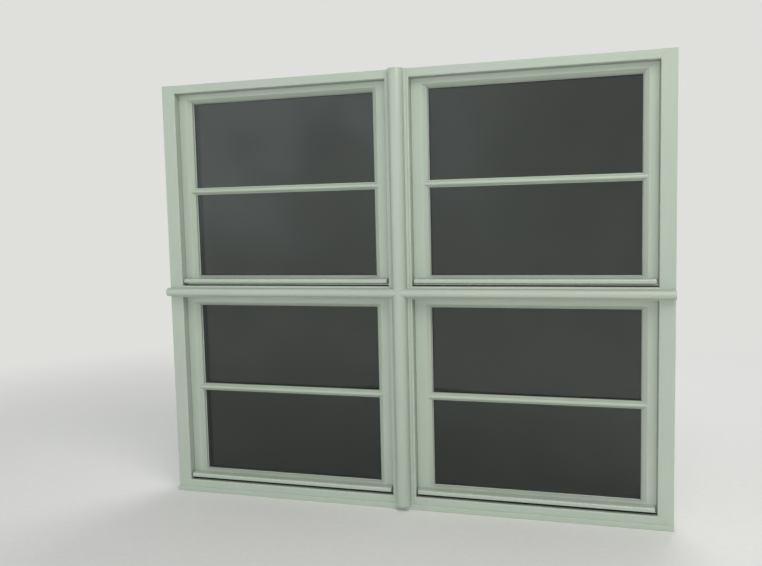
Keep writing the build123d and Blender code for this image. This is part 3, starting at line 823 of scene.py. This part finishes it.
def transom_mouldings():
    """The two half-rounds on the transom: straight flanks and half a circle, whose inner ends are scribed
    over the mullion's moulding, with two points close to the step of its fillet."""
    flank = CROSS_MOULDING_HALF - CROSS_MOULDING_DEPTH
    slip = 0.01
    step = [0, slip - FILLET_DEPTH, -slip - FILLET_DEPTH]
    depths = np.concatenate([step, np.linspace(-2 - FILLET_DEPTH, flank, 12)])
    foot = np.stack([depths, np.full(len(depths), -CROSS_MOULDING_HALF)], 1)
    crest = arc(CROSS_MOULDING_HALF, 270, 90, 33, (flank, 0))
    section = np.concatenate([foot, crest, foot[::-1] * (1, -1)])
    starts = scribe(-section[:, 0]) - SCRIBE_OVERRUN
    for name, side in SIDES.items():
        shape = carried(section + (0, TRANSOM_MIDDLE), starts, FRAME_HALF, "x")
        node = f"{name}_transom"
        make_piece(f"{node}_half_round", [shape], side, paint_across, "frame", "paint", f"{node}_moulding")


def foot_strip():
    """The thin strip along the foot of the frame, with a rounded upper arris."""
    depth, height = FOOT_STRIP
    section, wear_and_highlight = soften([(0, 0), (-depth, 0), (-depth, height), (0, height)], (0, 0.6, 1.5, 0))
    shape = carried(section, -FRAME_HALF, FRAME_HALF, "x", wear_and_highlight, 0.5)
    make_piece("foot_strip_moulding", [shape], 1, paint_across, "frame", "paint", "foot_strip")


def lip_seal(row, name, side, opening):
    """A flexible seal on the lip up both sides and across the head of a light. It nearly reaches the edge of
    the sash, a little behind the sash's face, so that the gap between them is shallow."""
    tip = tuple(edge + SEAL_GAP for edge in FRONT_EDGE)
    columns = [
        (SASH_FACE + behind, *edge)
        for behind, edge in zip(SEAL_DEPTHS, (LIP_FACE, tip, tip, LIP_FACE))
    ]
    depth, lock, hinge, _, top = np.asarray(columns).T
    foot = opening[2] - FRONT_EDGE[2]
    left, right, high = opening[0] - lock, opening[1] + hinge, opening[3] + top
    path = ((left, foot), (left, high), (right, high), (right, foot))
    shape = along_path(path, depth, np.zeros(4))
    make_piece(f"{row}_{name}_lip_seal", [shape], side, seal, "frame", "gasket")


def rain_rail(row, name, side, low):
    """A rail on the frame under a weather bar: a flat metal bar that faces outwards, on a thin dark rubber
    foot whose dark also paints the shade of the gap under the rail."""
    foot, head = RAIL_LEVELS
    front, back = RAIL_FRONT, RAIL_FRONT + RAIL_THICK
    section, wear_and_highlight = soften([(front, foot), (front, head), (back, head), (back, foot)], 0.35)
    ends = (ARRIS_LOCK + RAIL_CLEAR, ARRIS_HINGE - RAIL_CLEAR)
    rail = carried(section + (0, low), *ends, "x", wear_and_highlight)
    make_piece(f"{row}_{name}_rain_rail", [rail], side, rail_metal, "frame", "hardware")

    # The foot's dark rubber also stands in for the shade in the gap under the rail
    nose, heel = front - 3.5, SASH_FACE - 0.8
    web = (front + 0.7, back + 0.3)
    edge, crown, tail, sunk = 0.6, 0.9, 0.7, foot + OVERRUN
    line = [
        (nose, 0), (nose, edge), (web[0], crown), (web[0], sunk),
        (web[1], sunk), (web[1], crown), (heel, tail), (heel, 0),
    ]
    seat = carried(np.array(line) + (0, low), *ends, "x")
    make_piece(f"{row}_{name}_rail_foot", [seat], side, rubber, "frame", "gasket")


def keep_screws():
    """Two screws in each keep on the mullion; they face the sash."""
    rise, inset, radius = 24.0, 4.0, 2.8
    shapes = []
    for side in SIDES.values():
        for low, high in ROW_LEVELS.values():
            for step in (-CAM_HALF_SPACING, CAM_HALF_SPACING):
                for up in (-rise, rise):
                    centre = (KEEP_SEAT, KEEP_DEPTH - inset, (low + high) / 2 + step + up)
                    shapes.append(opposite(screw_head(centre, "x", radius), side))
    make_piece("keep_screws", shapes, 1, steel, "frame", "hardware")


# The sashes
# The section of a sash runs from its front edge over chamfer, return and glass rebate to the back, and along
# its stepped edge to the front again
SQUARE = (0.0, 0.0, 0.0, 0.0)
SASH_CORNERS = (
    (SASH_FACE, *FRONT_EDGE), (SASH_FACE, *CHAMFER), (CHAMFER_BACK, *SQUARE), (GLASS_FRONT, *SQUARE),
    (GLASS_FRONT, *REBATE), (SASH_BACK, *REBATE), (SASH_BACK, *OVERLAP_EDGE),
    (OVERLAP_FRONT, *OVERLAP_EDGE), (OVERLAP_FRONT, *STEP_EDGE), (SASH_STEP, *STEP_EDGE),
    (SASH_STEP, *FRONT_EDGE),
)
SASH_ROUNDS = (0.7, 0.9, 1.1, 0.2, 0.2, 0.8, 3.0, 1.2, 0.3, 1.0, 0.3)


def timber(sash, side, opening, middle):
    """The stiles and rails of a sash, with the pocket for the lock rod in the edge of the lock stile."""
    columns, wear_and_highlight = soften(SASH_CORNERS, SASH_ROUNDS)
    lock = sash_member(columns, opening, "lock", wear_and_highlight)
    # The stepped edge is the quad after its corner's rounding, in the second of the stile's three runs
    corner = SASH_CORNERS.index((OVERLAP_FRONT, *STEP_EDGE))
    quad = len(columns) + (corner + 1) * ROUND_STEPS - 1
    front, back, floor = ROD_POCKET
    low, high = middle - ROD_TRAVEL / 2 - ROD_HALF, middle + ROD_TRAVEL / 2 + ROD_HALF
    mouth = np.array([(0, back, low), (0, front, low), (0, front, high), (0, back, high)], float)
    face = SIGHT_LOCK - STEP_EDGE[0]
    lock = sink(lock, quad, mouth + (face, 0, 0), mouth + (floor, 0, 0))
    hinge = sash_member(columns, opening, "hinge", wear_and_highlight)
    sash_piece(sash, side, "stile_pair", [lock, hinge], paint_up, "paint", "stiles")
    rails = [sash_member(columns, opening, member, wear_and_highlight) for member in ("foot", "top")]
    sash_piece(sash, side, "rail_pair", rails, paint_across, "paint", "rails")


def weather_bar(sash, side, low, sight_low):
    """The bar across the foot of a sash: a sloped top, a rounded nose and a half-round drip groove."""
    under, back = low + WEATHER_CLEAR, sight_low - CHAMFER[2]
    corners = [
        (SASH_FACE, under), (SASH_FACE, back),
        (WEATHER_NOSE, back - WEATHER_FALL), (WEATHER_NOSE, under),
    ]
    section, wear_and_highlight = soften(corners, (0, 0.4, 4.5, 3.0), 7)
    drip = arc(DRIP_RADIUS, 180, 0, 11, (WEATHER_NOSE + DRIP_BEHIND_NOSE, under))
    section = np.concatenate([section, drip])
    wear_and_highlight = np.concatenate([wear_and_highlight, np.zeros(len(drip))])
    bar = carried(section, *WEATHER_ENDS, "x", wear_and_highlight, 1.6, 5)
    sash_piece(sash, side, "weather_moulding", [bar], paint_across, "paint", "weather_bar")


def glazing_bars(sash, side, opening, level):
    """The outer bar, whose ridge has a round crest and ends on the chamfer plane, and the inner bar."""
    lean = math.atan2(RIDGE_HALF, CHAMFER_BACK - RIDGE_APEX)
    crest_from = 90 + math.degrees(lean)
    centre = (RIDGE_APEX + RIDGE_ROUND / math.sin(lean), 0)
    line = np.concatenate([
        [(GLASS_FRONT, BAR_HALF), (CHAMFER_BACK, BAR_HALF), (CHAMFER_BACK, RIDGE_HALF)],
        arc(RIDGE_ROUND, crest_from, 360 - crest_from, 17, centre),
        [(CHAMFER_BACK, -RIDGE_HALF), (CHAMFER_BACK, -BAR_HALF), (GLASS_FRONT, -BAR_HALF)],
    ])
    flare = np.clip((CHAMFER_BACK - line[:, 0]) / (CHAMFER_BACK - SASH_FACE), 0, 1)
    starts = opening[0] - CHAMFER[0] * flare - OVERRUN
    stops = opening[1] + CHAMFER[1] * flare + OVERRUN
    outer = carried(line + (0, level), starts, stops, "x")
    corners = [
        (GLASS_BACK, level - BAR_HALF), (INNER_BAR_BACK, level - BAR_HALF),
        (INNER_BAR_BACK, level + BAR_HALF), (GLASS_BACK, level + BAR_HALF),
    ]
    section, wear_and_highlight = soften(corners, (0, 2.5, 2.5, 0))
    inner = carried(section, *opening[:2], "x", wear_and_highlight)
    sash_piece(sash, side, "bar_pair", [outer, inner], paint_across, "paint", "glazing_bars")


def glazing_beads(sash, side, opening):
    """Four beads on the room side, with a round inner arris: the upright ones stand between the others."""
    rounds, end = (0, 3.0, 0.8, 0), 0.3
    front, back = GLASS_BACK, BEAD_BACK
    left, right, foot, top = opening
    beads = []
    for sight, out in ((foot, -REBATE[2]), (top, REBATE[3])):
        near, far = sight + math.copysign(OVERRUN, out), sight + out
        section, wear_and_highlight = soften([(front, near), (back, near), (back, far), (front, far)], rounds)
        beads.append(carried(section, left - REBATE[0], right + REBATE[1], "x", wear_and_highlight, end))
    for near, out in ((left, -REBATE[0]), (right, REBATE[1])):
        far = near + out
        section, wear_and_highlight = soften([(near, front), (near, back), (far, back), (far, front)], rounds)
        beads.append(carried(section, foot, top, "z", wear_and_highlight, end))
    sash_piece(sash, side, "bead_set", beads, paint_across, "paint", "beads")


def glass_sealant(sash, side, opening):
    """The sealant between the outer pane and the return of the sash: a small hollow fillet all round."""
    sunk, middle, tip = 0.1, -0.35 * SEALANT_REACH, -SEALANT_REACH
    columns = [
        (GLASS_FRONT, *(sunk,) * 4), (GLASS_FRONT - SEALANT_THICK, *(sunk,) * 4),
        (GLASS_FRONT - 1.0, *(middle,) * 4), (GLASS_FRONT, *(tip,) * 4),
    ]
    sash_piece(sash, side, "glass_sealant", [ring(columns, opening, np.zeros(4))], sealant, "gasket")


# Hinges and handles
def knuckle(level):
    """A hinge barrel: a cylinder with rounded rims and two turned lines."""
    radius, length = KNUCKLE_RADIUS, KNUCKLE_LENGTH
    rim, rim_dip, line_half, inset = 1.2, 0.35, 0.7, 4.0
    lines = [
        (radius - dip, middle + up)
        for middle in (inset, length - inset)
        for dip, up in ((0.0, -line_half), (rim_dip, 0.0), (0.0, line_half))
    ]
    section = [
        (0, 0), (radius - rim, 0), (radius - rim_dip, rim_dip), (radius, rim), *lines,
        (radius, length - rim), (radius - rim_dip, length - rim_dip), (radius - rim, length), (0, length),
    ]
    return turned(section, (HINGE_X, HINGE_DEPTH, level), "z")


def sash_hinges(sash, side, low, high):
    """The upper halves of a sash's two hinges: a barrel, and a leaf on the stile with two screws."""
    far, near, face = HINGE_X - 41, HINGE_X - 2, SASH_BACK + LEAF_THICK
    corner, edge, radius = 4.0, 0.6, 3.6
    shapes = []
    for level in (low + HINGE_INSET, high - HINGE_INSET):
        start = level + HINGE_PLAY
        shapes.append(knuckle(start))
        leaf = plate((far, start), (near, start + KNUCKLE_LENGTH), SASH_BACK, face, "y", corner, edge)
        shapes.append(leaf)
        for across, up in ((34.0, 7.5), (22.0, 22.5)):
            shapes.append(screw_head((HINGE_X - across, face, start + up), "y", radius))
    sash_piece(sash, side, "hinge_pair", shapes, steel, "hardware", "hinge_leaves")


def frame_hinge(foot):
    """The lower half of a hinge: a barrel with its pin, a web, and a leaf on the frame with a screw."""
    base, top, face = foot + OVERRUN, foot + KNUCKLE_LENGTH, FRAME_DEPTH + LEAF_THICK
    leaf_half, leaf_below, web_half, bevel = 8, 8, 6, 1
    pin = [
        (0, 0), (PIN_RADIUS, 0), (PIN_RADIUS, PIN_LENGTH - bevel),
        (PIN_RADIUS - bevel, PIN_LENGTH), (0, PIN_LENGTH),
    ]
    web = ((HINGE_X - web_half, FRAME_DEPTH + OVERRUN), (HINGE_X + web_half, HINGE_DEPTH))
    leaf = ((HINGE_X - leaf_half, foot - leaf_below), (HINGE_X + leaf_half, top))
    return [
        knuckle(foot),
        turned(pin, (HINGE_X, HINGE_DEPTH, base), "z", 24),
        plate(*web, base, top, "z", 0.5, 0.4),
        plate(*leaf, FRAME_DEPTH, face, "y", 3.0, 0.6),
        screw_head((HINGE_X, face, foot - leaf_below / 2), "y", 2.6),
    ]


def frame_hinges():
    """The lower halves of all the hinges."""
    shapes = []
    for side in SIDES.values():
        for low, high in ROW_LEVELS.values():
            for level in (low + HINGE_INSET, high - HINGE_INSET):
                half = frame_hinge(level - HINGE_PLAY - KNUCKLE_LENGTH)
                shapes += [opposite(shape, side) for shape in half]
    make_piece("frame_hinge_set", shapes, 1, steel, "frame", "hardware", "frame_hinge_leaves")


def rosette(sash, side, middle):
    """The plate under a handle, with two screws."""
    wide, tall = ROSETTE_HALF
    corner, edge, rise, radius = 9.0, 2.5, 24.0, 3.4
    low, high = (HANDLE_X - wide, middle - tall), (HANDLE_X + wide, middle + tall)
    shapes = [plate(low, high, SASH_BACK, ROSETTE_BACK, "y", corner, edge)]
    shapes += [screw_head((HANDLE_X, ROSETTE_BACK, middle + up), "y", radius) for up in (-rise, rise)]
    sash_piece(sash, side, "rosette_plate", shapes, handle_metal, "handle", "rosette")


def lever(sash, side, middle):
    """A lever on a turned neck. The lever's half height h follows a circle at each end and a straight taper
    between, its half thickness is 6 (h / h of the taper)^0.5, less up to 12% at the middle, and its section
    is the superellipse |y|^2.7 + |z|^2.7 = 1 between the two."""
    root, tip, thickness, power = 11.0, 8.5, 6.0, 2.7
    rows, count = 61, 40
    turn = np.linspace(0, np.pi, rows)
    place = -root + (root + LEVER_LENGTH + tip) * (1 - np.cos(turn)) / 2
    share = np.clip(place / LEVER_LENGTH, 0, 1)
    taper = root + (tip - root) * share
    over = np.where(place < 0, place, np.maximum(place - LEVER_LENGTH, 0))
    half = np.sqrt(np.maximum(taper ** 2 - over ** 2, 0))
    thick = thickness * (half / taper) ** 0.5 * (1 - 0.12 * np.sin(np.pi * share))
    angle = np.linspace(0, 2 * np.pi, count, endpoint=False)[None]
    bulge = [np.sign(wave) * np.abs(wave) ** (2 / power) for wave in (np.cos(angle), np.sin(angle))]
    across = np.repeat(HANDLE_X + place[:, None], count, 1)
    depth = (LEVER_FRONT + LEVER_BACK) / 2 + thick[:, None] * bulge[0]
    grip = wrapped(np.stack([across, depth, middle + half[:, None] * bulge[1]], -1))
    section = [
        (0, 0), (7.4, 0), (8, 0.6), (8, 3), (7.2, 6),
        (6.9, 11), (7.3, 16), (8.4, 20), (8.8, 22), (0, 24),
    ]
    neck = turned(section, (HANDLE_X, NECK_START, middle), "y")
    name, node, body = f"{sash}_lever", f"{sash}_handle", f"{sash}_turning_handle"
    make_piece(name, [grip, neck], side, handle_metal, body, "handle", node)


def assign(node, material):
    """Gives a kept CAD node a material."""
    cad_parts[node].material_slots[0].material = material


frame_timber()
mullion_moulding()
transom_mouldings()
foot_strip()
for row, (low, high) in ROW_LEVELS.items():
    opening = (SIGHT_LOCK, SIGHT_HINGE, low + SIGHT_ABOVE_FOOT, high - SIGHT_BELOW_HEAD)
    middle = (low + high) / 2
    for name, side in SIDES.items():
        sash = f"{row}_{name}"
        lip_seal(row, name, side, opening)
        rain_rail(row, name, side, low)
        timber(sash, side, opening, middle)
        weather_bar(sash, side, low, opening[2])
        glazing_bars(sash, side, opening, (opening[2] + opening[3]) / 2 + BAR_SHIFT[row])
        glazing_beads(sash, side, opening)
        glass_sealant(sash, side, opening)
        sash_hinges(sash, side, low, high)
        rosette(sash, side, middle)
        lever(sash, side, middle)
        assign(f"{sash}_panes", glass)
        assign(f"{sash}_spacer", spacer_metal)
        assign(f"{sash}_lock_rod", steel)
frame_hinges()
keep_screws()
assign("frame_gaskets", rubber)
assign("keeps", steel)
